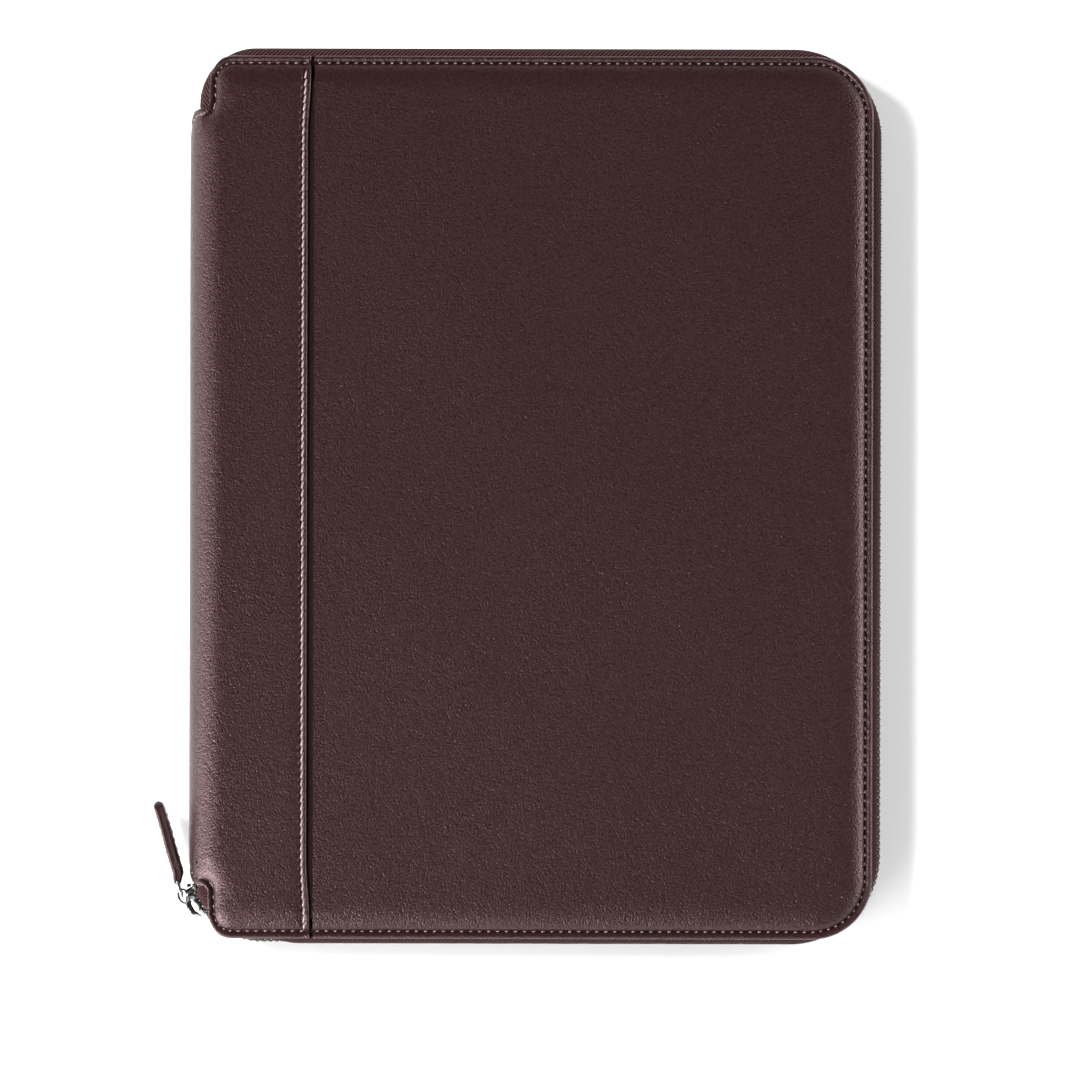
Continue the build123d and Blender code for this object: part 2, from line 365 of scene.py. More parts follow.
def leather_sheet(name, pattern, side, lie_size, material, slot_soft=None, shift=None):
    """A leather piece of a cover, from its pattern."""
    points, faces = pattern
    u, v, rim, run, slot = points.T
    top = sewn_height(u, v, rim, run, lie_size) - under_overlap(u)
    thick = 1.2 + 0.4 * (1 - smooth((rim - 1) / 3))
    thick = thick + (SPINE_RADIUS - LINING_RADIUS - 0.15 + top - thick) * smooth((AXIS_X + 1 - u) / 4)
    edge = rounding(rim, 0.8)
    if slot_soft is not None:
        top = top + slot_height(slot, v, slot_soft)
        thick = thick + 0.5 * (1 - smooth(slot / 5))
        edge = edge if slot_soft else np.maximum(edge, rounding(slot, 0.75))
    shared = (rim < 1e-6) | ((slot < 1e-6) & (not slot_soft))
    bottom = top - thick + edge
    top = top - edge
    middle = (top + bottom) / 2
    top, bottom = np.where(shared, middle, top), np.where(shared, middle, bottom)
    if shift is not None:
        u = u + shift(v) * np.exp(-slot / 6)
    moved = np.stack([u, v, rim, run, slot], 1)
    order = faces if side > 0 else [f[::-1] for f in faces]
    uv = np.stack([points[:, 0] if side > 0 else 2 * MID_U - points[:, 0], points[:, 1]], 1)
    shell, shell_faces, shell_uv = closed_sheet((moved, order), top, bottom, shared, outer(side), uv)
    return mesh_object(name, shell, shell_faces, material, shell_uv)


SEAM_POINTS = 13                             # points across the band beside the pocket opening


def flank_pattern():
    """From the middle of the spine to the pocket opening."""
    pattern = Pattern()
    corners = spine_side_corners() + [(FLANK_EDGE, COVER_END)]
    upper = rounded_path(corners, SPINE_SIDE_RADII)[::-1]
    upper = evenly(upper, STEP)
    lower = (upper[0][::-1] * (1, -1), upper[1])
    top_row = strip(pattern, upper, RIM_ROWS, slot_of=FLANK_EDGE)
    bottom_row = strip(pattern, lower, RIM_ROWS, slot_of=FLANK_EDGE)
    side = seam_strip(pattern, top_row[:SEAM_POINTS], FLANK_EDGE)
    loop = np.vstack([bottom_row[:-SEAM_POINTS], side, top_row[SEAM_POINTS:]])
    fill(pattern, loop, 3.0, AXIS_X, slot_of=FLANK_EDGE)
    return pattern.finish(), upper, lower


def seam_strip(pattern, across, edge):
    """A band of quads along the pocket opening, between the two long rims."""
    top = across[0][1]
    rows = np.linspace(-top, top, round(2 * top / STEP) + 1)
    u = np.broadcast_to(across[:, 0][None, :], (len(rows), len(across)))
    v = np.broadcast_to(rows[:, None], u.shape)
    faces = grid_faces(len(rows), len(across))
    if across[1][0] < across[0][0]:
        faces = faces[:, ::-1]
    pattern.add(u, v, FAR, 0.0, np.abs(u - edge), faces)
    return np.stack([u[:, -1], rows], 1)


def panel_pattern():
    """The pocket panel, from the opening to the fore edge."""
    pattern = Pattern()
    corners = [(POCKET_EDGE, -COVER_END), (FORE_X, -COVER_END), (FORE_X, COVER_END), (POCKET_EDGE, COVER_END)]
    rim = evenly(rounded_path(corners, (FORE_RADIUS, FORE_RADIUS)), STEP)
    row = strip(pattern, rim, RIM_ROWS, slot_of=POCKET_EDGE)
    side = seam_strip(pattern, row[::-1][:SEAM_POINTS], POCKET_EDGE)
    loop = np.vstack([side[::-1], row[SEAM_POINTS:-SEAM_POINTS]])
    fill(pattern, loop, 3.5, slot_of=POCKET_EDGE)
    return pattern.finish(), rim


def back_pattern():
    """The back cover with its half of the spine."""
    pattern = Pattern()
    upper = spine_side_corners()
    lower = [(u, -v) for u, v in upper]
    corners = lower + [(FORE_X, -COVER_END), (FORE_X, COVER_END)] + upper[::-1]
    radii = SPINE_SIDE_RADII + (FORE_RADIUS, FORE_RADIUS) + SPINE_SIDE_RADII[::-1]
    rim = evenly(rounded_path(corners, radii), STEP)
    row = strip(pattern, rim, RIM_ROWS)
    fill(pattern, row, 4.0, AXIS_X)
    return pattern.finish(), rim


# ---------------------------------------------------------------- stitches
THREAD = 0.26


def stitches(path, height, place, inset, slant=0.12, span=0.45, thread=THREAD, pitch=PITCH, rise=0.1):
    """Single stitches along a line at an inset from a path; each dips in at both ends."""
    points, run = path
    normal = inward(points)
    count = int((run[-1] - run[0]) // pitch)
    rings, sides = 7, 6
    start = run[0] + np.arange(count) * pitch
    t = np.linspace(0.5 - span / 2, 0.5 + span / 2, rings)
    s = start[:, None] + t[None, :] * pitch
    x, y, nx, ny = (np.interp(s, run, a) for a in (*points.T, *normal.T))
    jitter = RNG.normal(0, 0.03, (len(start), 1))
    across = inset + slant * np.linspace(-1, 1, rings)[None, :] + jitter
    u, v = x + nx * across, y + ny * across
    bow = (2 * t - 1) / span
    arch = rise - 0.42 * bow ** 4
    h = height(u, v, across, s) + arch[None, :]
    centre = place(u, v, h)
    outward = place(u, v, h + 0.1) - centre
    outward /= np.linalg.norm(outward, axis=-1, keepdims=True)
    along = np.gradient(centre, axis=1)
    along /= np.linalg.norm(along, axis=-1, keepdims=True)
    over = np.cross(along, outward)
    size = thread * np.sqrt(np.clip(1 - bow ** 6, 0.15, 1))
    angle = np.arange(sides) * 2 * pi / sides
    ring = (centre[:, :, None, :] + size[None, :, None, None] *
            (np.cos(angle)[None, None, :, None] * over[:, :, None, :] +
             np.sin(angle)[None, None, :, None] * outward[:, :, None, :]))
    tube = grid_faces(rings, sides, close_columns=True)
    caps = [list(range(sides))[::-1], list(range((rings - 1) * sides, rings * sides))]
    faces = []
    for k in range(len(start)):
        offset = k * rings * sides
        faces += (tube[:, ::-1] + offset).tolist() + [[i + offset for i in c[::-1]] for c in caps]
    return ring.reshape(-1, 3), faces


# ---------------------------------------------------------------- materials
class Nodes:
    """Short names for the nodes that the materials and the world are made of."""

    def __init__(self, owner):
        owner.use_nodes = True
        self.tree = owner.node_tree

    def add(self, kind, **values):
        node = self.tree.nodes.new(kind)
        for key, value in values.items():
            setattr(node, key, value)
        return node

    def link(self, source, target):
        self.tree.links.new(source, target)

    def coords(self, source="UV", scale=(1000, 1000, 1000), turn=0.0):
        place = self.add("ShaderNodeTexCoord")
        mapping = self.add("ShaderNodeMapping")
        mapping.inputs["Scale"].default_value = scale
        mapping.inputs["Rotation"].default_value = (0, 0, turn)
        self.link(place.outputs[source], mapping.inputs["Vector"])
        return mapping.outputs["Vector"]

    def noise(self, vector, scale, detail=2.0, roughness=0.5):
        node = self.add("ShaderNodeTexNoise")
        node.inputs["Scale"].default_value = scale
        node.inputs["Detail"].default_value = detail
        node.inputs["Roughness"].default_value = roughness
        self.link(vector, node.inputs["Vector"])
        return node.outputs

    def cells(self, vector, scale):
        """Distance from the middle of the nearest cell."""
        node = self.add("ShaderNodeTexVoronoi", feature="F1")
        node.inputs["Scale"].default_value = scale
        self.link(vector, node.inputs["Vector"])
        return node.outputs["Distance"]

    def math(self, operation, a, b=0.0, c=0.0):
        node = self.add("ShaderNodeMath", operation=operation)
        for socket, value in zip(node.inputs, (a, b, c)):
            if isinstance(value, (int, float)):
                socket.default_value = value
            else:
                self.link(value, socket)
        return node.outputs[0]

    def ramp(self, value, low, high, to_low=0.0, to_high=1.0):
        node = self.add("ShaderNodeMapRange", interpolation_type="SMOOTHSTEP")
        for key, number in zip(("From Min", "From Max", "To Min", "To Max"), (low, high, to_low, to_high)):
            node.inputs[key].default_value = number
        self.link(value, node.inputs["Value"])
        return node.outputs["Result"]

    def mix(self, factor, a, b):
        node = self.add("ShaderNodeMix", data_type="RGBA")
        self.link(factor, node.inputs["Factor"])
        for socket, value in zip(node.inputs[6:8], (a, b)):
            if isinstance(value, tuple):
                socket.default_value = (*value, 1)
            else:
                self.link(value, socket)
        return node.outputs[2]

    def parts(self, vector):
        """The x, y and z of a vector."""
        node = self.add("ShaderNodeSeparateXYZ")
        self.link(vector, node.inputs[0])
        return node.outputs

    def wave(self, value, length):
        return self.math("SINE", self.math("MULTIPLY", value, 2 * pi / length))

    def bump(self, height, distance, strength=1.0):
        node = self.add("ShaderNodeBump")
        node.inputs["Distance"].default_value = distance * MM
        node.inputs["Strength"].default_value = strength
        self.link(height, node.inputs["Height"])
        return node.outputs["Normal"]


class Shader(Nodes):
    """A new material."""

    def __init__(self, name):
        self.material = bpy.data.materials.new(name)
        super().__init__(self.material)
        self.bsdf = self.tree.nodes["Principled BSDF"]

    def set(self, **values):
        for key, value in values.items():
            socket = self.bsdf.inputs[key.replace("_", " ")]
            if isinstance(value, (int, float, tuple)):
                socket.default_value = (*value, 1) if isinstance(value, tuple) else value
            else:
                self.link(value, socket)


def distorted(sh, vector, scale, amount):
    """Coordinates pushed about by a noise, so that cells lose their straight edges."""
    shift = sh.noise(vector, scale, 1.0)["Color"]
    centred = sh.add("ShaderNodeVectorMath", operation="SUBTRACT")
    centred.inputs[1].default_value = (0.5, 0.5, 0.5)
    sh.link(shift, centred.inputs[0])
    scaled = sh.add("ShaderNodeVectorMath", operation="SCALE")
    scaled.inputs["Scale"].default_value = amount
    sh.link(centred.outputs[0], scaled.inputs[0])
    total = sh.add("ShaderNodeVectorMath", operation="ADD")
    sh.link(vector, total.inputs[0])
    sh.link(scaled.outputs[0], total.inputs[1])
    return total.outputs[0]


GRAIN_CELL, SMALL_CELL = 0.62, 0.36


def leather_material(name, dark, light, roughness=0.35, grain=1.0, source="UV"):
    """Fine pebbled leather: small domed cells, a finer tooth, painted shade in the creases between the cells
    and a slow drift of colour.
    """
    sh = Shader(name)
    flat = sh.coords(source, (1000, 860, 1000), radians(12))
    reach = sh.cells(distorted(sh, flat, 1.2, 0.32), 1 / GRAIN_CELL)
    dome = sh.math("SUBTRACT", 1.0, sh.math("MULTIPLY", sh.math("MULTIPLY", reach, reach), 1.7))
    small = sh.cells(distorted(sh, flat, 1.8, 0.2), 1 / SMALL_CELL)
    tooth = sh.noise(flat, 3.4, 3.0, 0.6)["Fac"]
    broad = sh.noise(flat, 0.4, 3.0, 0.55)["Fac"]
    slow = sh.noise(flat, 0.012, 2.0)["Fac"]
    height = sh.math("MULTIPLY", dome, 0.078)
    for layer, size in ((small, -0.025), (tooth, 0.045), (broad, 0.12)):
        height = sh.math("MULTIPLY_ADD", layer, size, height)
    patch = sh.noise(flat, 0.9, 2.0, 0.6)["Fac"]
    # Base colour: darker in the creases between the domed cells, which is painted shade, mixed with random
    # patches and a slow drift of tone.
    crease_shade_and_tone = sh.math("ADD", sh.math("MULTIPLY", dome, 0.4), sh.math("MULTIPLY", patch, 0.6))
    crease_shade_and_tone = sh.math("ADD", crease_shade_and_tone, sh.math("MULTIPLY", slow, 0.25))
    sh.set(Base_Color=sh.mix(sh.ramp(crease_shade_and_tone, 0.3, 1.1), dark, light))
    sh.set(Roughness=sh.ramp(tooth, 0.2, 0.8, roughness - 0.07, roughness + 0.1))
    sh.set(Specular_IOR_Level=sh.ramp(dome, 0.2, 0.9, 0.4, 0.62), Specular_Tint=(1.0, 0.7, 0.72))
    sh.set(Normal=sh.bump(height, 1.0, grain))
    return sh.material


def thread_material():
    """Twisted thread, a little paler and glossier than the leather; the paleness is a painted highlight."""
    sh = Shader("sewing_thread")
    place = sh.coords("Object")
    twist = sh.noise(place, 3.2, 2.0)["Fac"]
    # Random tone along the twist (the thread's own), over a colour kept pale as a painted highlight.
    sh.set(Base_Color=sh.mix(sh.ramp(twist, 0.3, 0.7), (0.16, 0.105, 0.108), (0.32, 0.25, 0.255)))
    sh.set(Roughness=0.34, Coat_Weight=0.3, Normal=sh.bump(twist, 0.08))
    return sh.material


def tape_material():
    """Zip tape: a steep twill."""
    sh = Shader("zip_tape_weave")
    flat = sh.coords("UV")
    along, across, _ = sh.parts(flat)
    wander = sh.math("MULTIPLY", sh.noise(flat, 0.9, 2.0)["Fac"], 0.5)
    line = sh.math("ADD", sh.math("ADD", along, across), wander)
    wave = sh.wave(line, 1.6)
    yarn = sh.wave(across, 0.5)
    fuzz = sh.noise(flat, 4.0, 2.0)["Fac"]
    height = sh.math("ADD", sh.math("MULTIPLY", wave, 0.42), sh.math("MULTIPLY", fuzz, 0.35))
    height = sh.math("ADD", height, sh.math("MULTIPLY", yarn, 0.1))
    sh.set(Base_Color=sh.mix(sh.ramp(height, -0.25, 0.7), (0.004, 0.001, 0.0012), (0.07, 0.03, 0.032)))
    sh.set(Roughness=0.85, Specular_IOR_Level=0.1, Normal=sh.bump(height, 0.3))
    return sh.material


def coil_material():
    """Dyed nylon monofilament."""
    sh = Shader("zip_coil_nylon")
    grime = sh.noise(sh.coords("Object"), 0.6, 3.0)["Fac"]
    sh.set(Base_Color=sh.mix(sh.ramp(grime, 0.3, 0.7), (0.02, 0.0075, 0.0085), (0.036, 0.016, 0.0175)))
    sh.set(Roughness=sh.ramp(grime, 0.2, 0.8, 0.26, 0.4), Coat_Weight=0.15)
    return sh.material


def metal_material():
    """Bright nickel plate with faint wear."""
    sh = Shader("nickel_plate")
    place = sh.coords("Object")
    wear = sh.noise(place, 0.9, 4.0, 0.6)["Fac"]
    fine = sh.noise(place, 6.0, 2.0)["Fac"]
    sh.set(Base_Color=sh.mix(sh.ramp(wear, 0.35, 0.7), (0.4, 0.4, 0.39), (0.52, 0.52, 0.51)))
    sh.set(Metallic=1.0, Roughness=sh.ramp(wear, 0.3, 0.75, 0.16, 0.28), Normal=sh.bump(fine, 0.012, 0.6))
    return sh.material


def lining_material():
    """Dark woven lining."""
    sh = Shader("lining_weave")
    flat = sh.coords("UV")
    along, across, _ = sh.parts(flat)
    weave = sh.math("MULTIPLY", sh.wave(along, 0.7), sh.wave(across, 0.7))
    slub = sh.noise(flat, 0.35, 3.0)["Fac"]
    height = sh.math("ADD", sh.math("MULTIPLY", weave, 0.35), sh.math("MULTIPLY", slub, 0.6))
    sh.set(Base_Color=sh.mix(sh.ramp(height, -0.1, 0.8), (0.006, 0.0017, 0.002), (0.014, 0.0052, 0.0057)))
    sh.set(Roughness=0.85, Specular_IOR_Level=0.2, Normal=sh.bump(height, 0.1))
    return sh.material


def elastic_material():
    """Ribbed elastic webbing."""
    sh = Shader("elastic_webbing")
    flat = sh.coords("UV")
    along, across, _ = sh.parts(flat)
    rib, knit = sh.wave(across, 1.1), sh.wave(along, 0.5)
    height = sh.math("ADD", sh.math("MULTIPLY", rib, 0.5), sh.math("MULTIPLY", knit, 0.18))
    sh.set(Base_Color=sh.mix(sh.ramp(height, -0.6, 0.6), (0.008, 0.0042, 0.0044), (0.022, 0.012, 0.0125)))
    sh.set(Roughness=0.75, Sheen_Weight=0.4, Normal=sh.bump(height, 0.2))
    return sh.material


def board_material(name, dark, light):
    """Grey board: fibres and specks."""
    sh = Shader(name)
    specks = sh.noise(sh.coords("Object"), 1.5, 4.0, 0.7)["Fac"]
    sh.set(Base_Color=sh.mix(sh.ramp(specks, 0.35, 0.65), dark, light))
    sh.set(Roughness=0.9, Normal=sh.bump(specks, 0.1))
    return sh.material


def floor_material():
    sh = Shader("pale_sweep")
    cloud = sh.noise(sh.coords("Object", (1, 1, 1)), 3.0, 2.0)["Fac"]
    sh.set(Base_Color=sh.mix(cloud, (0.86, 0.86, 0.86), (0.88, 0.88, 0.88)))
    sh.set(Roughness=0.9, Specular_IOR_Level=0.0)
    return sh.material


LEATHER = leather_material("burgundy_leather", (0.0098, 0.0029, 0.0031), (0.0182, 0.0062, 0.0065))
INNER_LEATHER = leather_material("burgundy_inner_leather", (0.0095, 0.0027, 0.003),
                                 (0.017, 0.0052, 0.0057), 0.42, 0.7)
PULLER_LEATHER = leather_material("puller_leather", (0.0075, 0.0016, 0.0019),
                                  (0.013, 0.0034, 0.0038), 0.42, 0.5, "Object")
# The stitching's colour: its own tone, made paler as a painted highlight.
THREAD_WITH_PAINTED_HIGHLIGHT = thread_material()
TAPE = tape_material()
COIL = coil_material()
METAL = metal_material()
LINING = lining_material()
ELASTIC = elastic_material()
BOARD = board_material("grey_board", (0.16, 0.13, 0.1), (0.3, 0.26, 0.2))


# ---------------------------------------------------------------- building the covers
def rim_line(lie_size):
    """Height of the leather under a stitch on the rim."""
    return lambda u, v, across, s: sewn_height(u, v, across * 0 + STITCH_INSET, s, lie_size)


def fold_with(piece):
    """Bakes the piece's placement into its mesh."""
    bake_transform(piece)


FLANK_LIE, PANEL_LIE = 0.14, 0.16             # unevenness of the front's two leather pieces


def closing(v):
    """How far the flank's edge swings over, so that the pocket opening closes towards its ends."""
    return -0.3 + 1.3 * smooth((np.abs(v) - 136) / 24)


def build_front():
    pattern, upper, lower = flank_pattern()
    flank = leather_sheet("front_flank_and_spine", pattern, 1, FLANK_LIE, LEATHER,
                          slot_soft=False, shift=closing)
    parts = [stitches(path, rim_line(FLANK_LIE), outer(1), STITCH_INSET) for path in (upper, lower)]
    half = SEAM_PITCH * round((COVER_END - 3.0) / SEAM_PITCH)
    seam = evenly(np.array([(FLANK_EDGE, -half), (FLANK_EDGE, half)]), STEP)

    def seam_height(u, v, across, s):
        rim = COVER_END - np.abs(v)
        return slot_height(np.abs(u - FLANK_EDGE), v, False) + sewn_height(u, v, rim, 0 * v, FLANK_LIE)

    def seam_place(u, v, h):
        return outer(1)(u + 0.7 * closing(v), v, h)

    parts.append(stitches(seam, seam_height, seam_place, SEAM_INSET, slant=-0.26, span=1.02,
                          thread=0.38, pitch=SEAM_PITCH, rise=0.25))
    sewn = mesh_object("front_flank_stitches", *joined(parts), THREAD_WITH_PAINTED_HIGHLIGHT)
    for piece in (flank, sewn):
        fold_with(piece)
    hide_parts("front_flank_leather", "spine_leather", "spine_stay")

    pattern, rim = panel_pattern()
    panel = leather_sheet("front_pocket_leather", pattern, 1, PANEL_LIE, LEATHER, slot_soft=True)
    line = stitches(rim, rim_line(PANEL_LIE), outer(1), STITCH_INSET)
    sewn = mesh_object("front_panel_stitches", *line, THREAD_WITH_PAINTED_HIGHLIGHT)
    sharpen(panel)
    for piece in (panel, sewn):
        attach(piece, "front_cover")
    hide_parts("front_pocket_panel", "front_foam")


def build_back():
    pattern, rim = back_pattern()
    back = leather_sheet("back_leather_and_spine", pattern, -1, 0.0, LEATHER)
    line = stitches(rim, rim_line(0.0), outer(-1), STITCH_INSET)
    sewn = mesh_object("back_stitches", *line, THREAD_WITH_PAINTED_HIGHLIGHT)
    for piece in (back, sewn):
        fold_with(piece)
    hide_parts("back_leather", "back_foam")


# ---------------------------------------------------------------- zip
ZIP_OUT = 1.5                                 # from the tape's line to the coil's outer face
ZIP_RIGHT, ZIP_TOP, ZIP_BOTTOM = COIL_HIGH[0] - ZIP_OUT, COIL_HIGH[1] - ZIP_OUT, COIL_LOW[1] + ZIP_OUT
SLIDER_RADIUS, SLIDER_CENTRE_X = 28.2, -101.0
FAR_ZIP_RADIUS, FAR_CENTRE_X = 19.0, -104.0
FIRST_ANGLE = 16.0
FORE_ZIP_RADIUS = 31.0
TOOTH_PITCH = 2.46                            # of one strand; the two strands alternate
TURN_POINTS = 12


def zip_path(step=0.5):
    """The zip's line with its outward normals, from the slider round to the far end."""
    first = 180 + FIRST_ANGLE
    fore_x = ZIP_RIGHT - FORE_ZIP_RADIUS
    fore_low, fore_high = ZIP_BOTTOM + FORE_ZIP_RADIUS, ZIP_TOP - FORE_ZIP_RADIUS
    corners = [(SLIDER_CENTRE_X, ZIP_BOTTOM + SLIDER_RADIUS, SLIDER_RADIUS, first, 270),
               (fore_x, fore_low, FORE_ZIP_RADIUS, 270, 360), (fore_x, fore_high, FORE_ZIP_RADIUS, 0, 90),
               (FAR_CENTRE_X, ZIP_TOP - FAR_ZIP_RADIUS, FAR_ZIP_RADIUS, 90, 180)]
    path = []
    for cx, cy, radius, start, end in corners:
        for angle in np.linspace(start, end, 60):
            tucked = 1.0 * smooth((232 - angle) / 14) + 2.2 * smooth((208 - angle) / 12)
            reach = radius - tucked * (start == first)
            path.append((cx + reach * cos(radians(angle)), cy + reach * sin(radians(angle))))
    path.append((path[-1][0], path[-1][1] - 1.4))
    points, run = evenly(np.array(path), step)
    return points, run, -inward(points)


def swept(points, normals, section):
    """A closed section of (offset, height) points, carried along a line; ends are capped."""
    x = points[:, None, 0] + normals[:, None, 0] * section[None, :, 0]
    y = points[:, None, 1] + normals[:, None, 1] * section[None, :, 0]
    z = np.broadcast_to(section[None, :, 1], x.shape)
    return np.stack([x, y, z], -1).reshape(-1, 3), capped_faces(len(points), len(section))


def tape_section(side, bulge):
    """Tape from under the rim, round its edge and down behind the coil, which a bulge hides from above."""
    line = np.array([(-7.0, 8.3), (-3.6, 8.3), (-2.2, 8.25), (-1.1, 7.95), (-0.35, 7.2), (0.0, 6.0),
                     (0.1, 5.0), (0.1, 4.3), (0.1, 3.6), (0.1, 2.6), (0.05, 1.1)])
    out = np.array([0, 0, 0.2, 0.8, 1.4, 1.75, 1.85, 1.6, 0.3, 0, 0])
    line[:, 0] += bulge * out
    across = inward(line) * 0.25
    section = np.vstack([line + across, (line - across)[::-1]])
    section[:, 1] = MID_Z + side * section[:, 1]
    return section if side > 0 else section[::-1]


def coil_half(side, points, run, normals):
    """One strand of the coil: loops that pass over the tape's edge and mesh with the other side's."""
    turns = (run[-1] - 4) / TOOTH_PITCH
    angle = np.arange(int(turns * TURN_POINTS)) * 2 * pi / TURN_POINTS
    s = 2 + (angle / (2 * pi) + (0.0 if side > 0 else 0.5)) * TOOTH_PITCH
    offset = 1.05 + 0.5 * np.sin(angle)
    z = MID_Z + side * (1.65 + 1.85 * np.cos(angle))
    x, y, nx, ny = (np.interp(s, run, a) for a in (*points.T, *normals.T))
    line = np.stack([x + nx * offset, y + ny * offset, z], 1)
    return tube(line, 0.36, 6)


def tube(line, radius, sides, closed=False):
    """A round tube along a line in space, without twist."""
    along = np.roll(line, -1, 0) - np.roll(line, 1, 0) if closed else np.gradient(line, axis=0)
    along /= np.linalg.norm(along, axis=1)[:, None]
    over = [np.cross(along[0], (0.3, 0.5, 0.81))]
    for k in range(1, len(line)):
        last = over[-1] - along[k] * (over[-1] @ along[k])
        over.append(last / np.linalg.norm(last))
    over[0] /= np.linalg.norm(over[0])
    over = np.array(over)
    up = np.cross(along, over)
    angle = np.arange(sides) * 2 * pi / sides
    ring = line[:, None] + radius * (np.cos(angle)[None, :, None] * over[:, None] +
                                     np.sin(angle)[None, :, None] * up[:, None])
    faces = grid_faces(len(line), sides, close_rows=closed, close_columns=True).tolist()
    if not closed:
        faces.append(list(range(sides))[::-1])
        faces.append(list(range((len(line) - 1) * sides, len(line) * sides)))
    return ring.reshape(-1, 3), faces


def build_zip():
    points, run, normals = zip_path()
    for side, cover in ((1, "front_cover"), (-1, "back_cover")):
        half = cover.split("_")[0]
        section = tape_section(side, 1.0)
        body, faces = swept(points, normals, section)
        flat = swept(points, normals, tape_section(side, 0.0))[0]
        fore = np.clip(normals[:, 0], 0, 1) * (0.45 + 0.35 * smooth((40 - points[:, 1]) / 120))
        share = np.repeat(smooth((run - 36) / 14) * (1 - fore), len(section))[:, None]
        body = flat + (body - flat) * share
        uv = grid_points(run, lengths_along(section))
        tape = mesh_object(f"zip_tape_{half}_weave", body, faces, TAPE, uv)
        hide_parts(f"zip_tape_{half}", f"zip_tape_{half}_ends")
        coil = mesh_object(f"zip_coil_{half}_strand", *coil_half(side, points, run, normals), COIL)
        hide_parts(f"zip_coil_{half}", f"zip_coil_{half}_ends")
        for piece in (tape, coil):
            fold_with(piece)


# ---------------------------------------------------------------- inside
def facing_in(side):
    """Places points by their depth under a cover's outer face."""
    return lambda u, v, depth: np.stack([u, v, MID_Z + side * (MID_Z - depth)], -1)


def spread(start, end):
    """Grid lines over a panel, close together along both of its edges."""
    near = np.array([0, 0.12, 0.4, 0.8, 1.2, 1.6, 2.0, 2.4, 2.9, 3.5, 4.3, 5.3, 6.5])
    middle = np.linspace(start + 6.5, end - 6.5, max(3, round((end - start - 13) / 3.5)))[1:-1]
    return np.concatenate([start + near, middle, (end - near)[::-1]])


SEWN_AT, HEM_AT = 2.0, 3.2


def panel_depth(x, y, low, top):
    """How far a sewn-on panel stands from the cover: seams on three sides, a hem on the fourth."""
    def depth(u, v):
        sewn = np.minimum(np.minimum(u - x[0], x[1] - u), v - y[0])
        hem = y[1] - v
        rise = low + 0.75 + (top - low - 0.75) * smooth((sewn - SEWN_AT) / 5)
        rise -= 0.22 * np.exp(-((sewn - SEWN_AT) / 0.4) ** 2)
        rise -= 0.2 * np.exp(-((hem - HEM_AT) / 0.4) ** 2)
        return rise + 0.12 * smooth((HEM_AT - hem) / 0.8) + 0.1 * lie(u, v) * smooth(sewn / 12)
    return depth


def inner_panel(node, corner, far_corner, depths, side, cover):
    """A leather pocket panel sewn inside a cover, with its stitching."""
    name = f"{node}_leather"
    x, y = ((corner[k], far_corner[k]) for k in (0, 1))
    low, top = depths
    u, v = grid_points(spread(*x), spread(*y)).T
    faces = grid_faces(len(spread(*x)), len(spread(*y)))[:, ::-1]
    sewn = np.minimum(np.minimum(u - x[0], x[1] - u), v - y[0])
    edge = np.minimum(sewn, y[1] - v)
    depth = panel_depth(x, y, low, top)
    outer_face = depth(u, v)
    inner_face = np.maximum(outer_face - 0.75, low + 0.05)
    round_off = rounding(edge, 0.36)
    shared = edge < 1e-6
    middle = (outer_face + inner_face) / 2
    outer_face = np.where(shared, middle, outer_face - round_off)
    inner_face = np.where(shared, middle, np.minimum(inner_face + round_off * (sewn > 3), middle))
    place = facing_in(side)
    order = faces if side < 0 else faces[:, ::-1]
    stacked = np.stack([u, v], 1)
    points, shell, uv = closed_sheet((stacked, order), outer_face, inner_face, shared, place, stacked)
    panel = mesh_object(name, points, shell, INNER_LEATHER, uv)
    sewn_path = evenly(np.array([(x[0], y[1]), (x[0], y[0]), (x[1], y[0]), (x[1], y[1])]), STEP)
    hem_path = evenly(np.array([(x[1] - 2.6, y[1]), (x[0] + 2.6, y[1])]), STEP)
    lines = [stitches(path, lambda a, b, across, s: depth(a, b), place, inset)
             for path, inset in ((sewn_path, SEWN_AT), (hem_path, HEM_AT))]
    sewing = mesh_object(name + "_stitches", *joined(lines), THREAD_WITH_PAINTED_HIGHLIGHT)
    for piece in (panel, sewing):
        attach(piece, cover)
    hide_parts(node)


LINING_HALF = box_mm("spine_lining")[1][1]
LINING_STITCH = 2.0


def lining_pattern():
    """Half of the lining: one cover and its side of the spine."""
    pattern = Pattern()
    inset = 0.8
    upper = [(MID_U, LINING_HALF), (CORNER_X + 2.4, LINING_HALF), (CORNER_X + 1.5, COVER_END - inset)]
    lower = [(u, -v) for u, v in upper]
    right = FORE_X - inset
    corners = lower + [(right, -COVER_END + inset), (right, COVER_END - inset)] + upper[::-1]
    rim = evenly(rounded_path(corners, (2.5, 9.8, 21.2, 21.2, 9.8, 2.5)), STEP * 1.5)
    row = strip(pattern, rim, (0, 0.3, 0.8, 1.3, 1.7, 2.0, 2.3, 2.8, 3.5, 4.5, 6.0))
    fill(pattern, row, 5.0, AXIS_X)
    return pattern.finish(), rim


def lining_height(u, v, rim):
    crease = 0.2 * np.exp(-((rim - LINING_STITCH) / 0.45) ** 2)
    return -0.5 + crease - 0.12 * lie(u * 0.7, v * 0.7) * smooth((rim - 3) / 10)


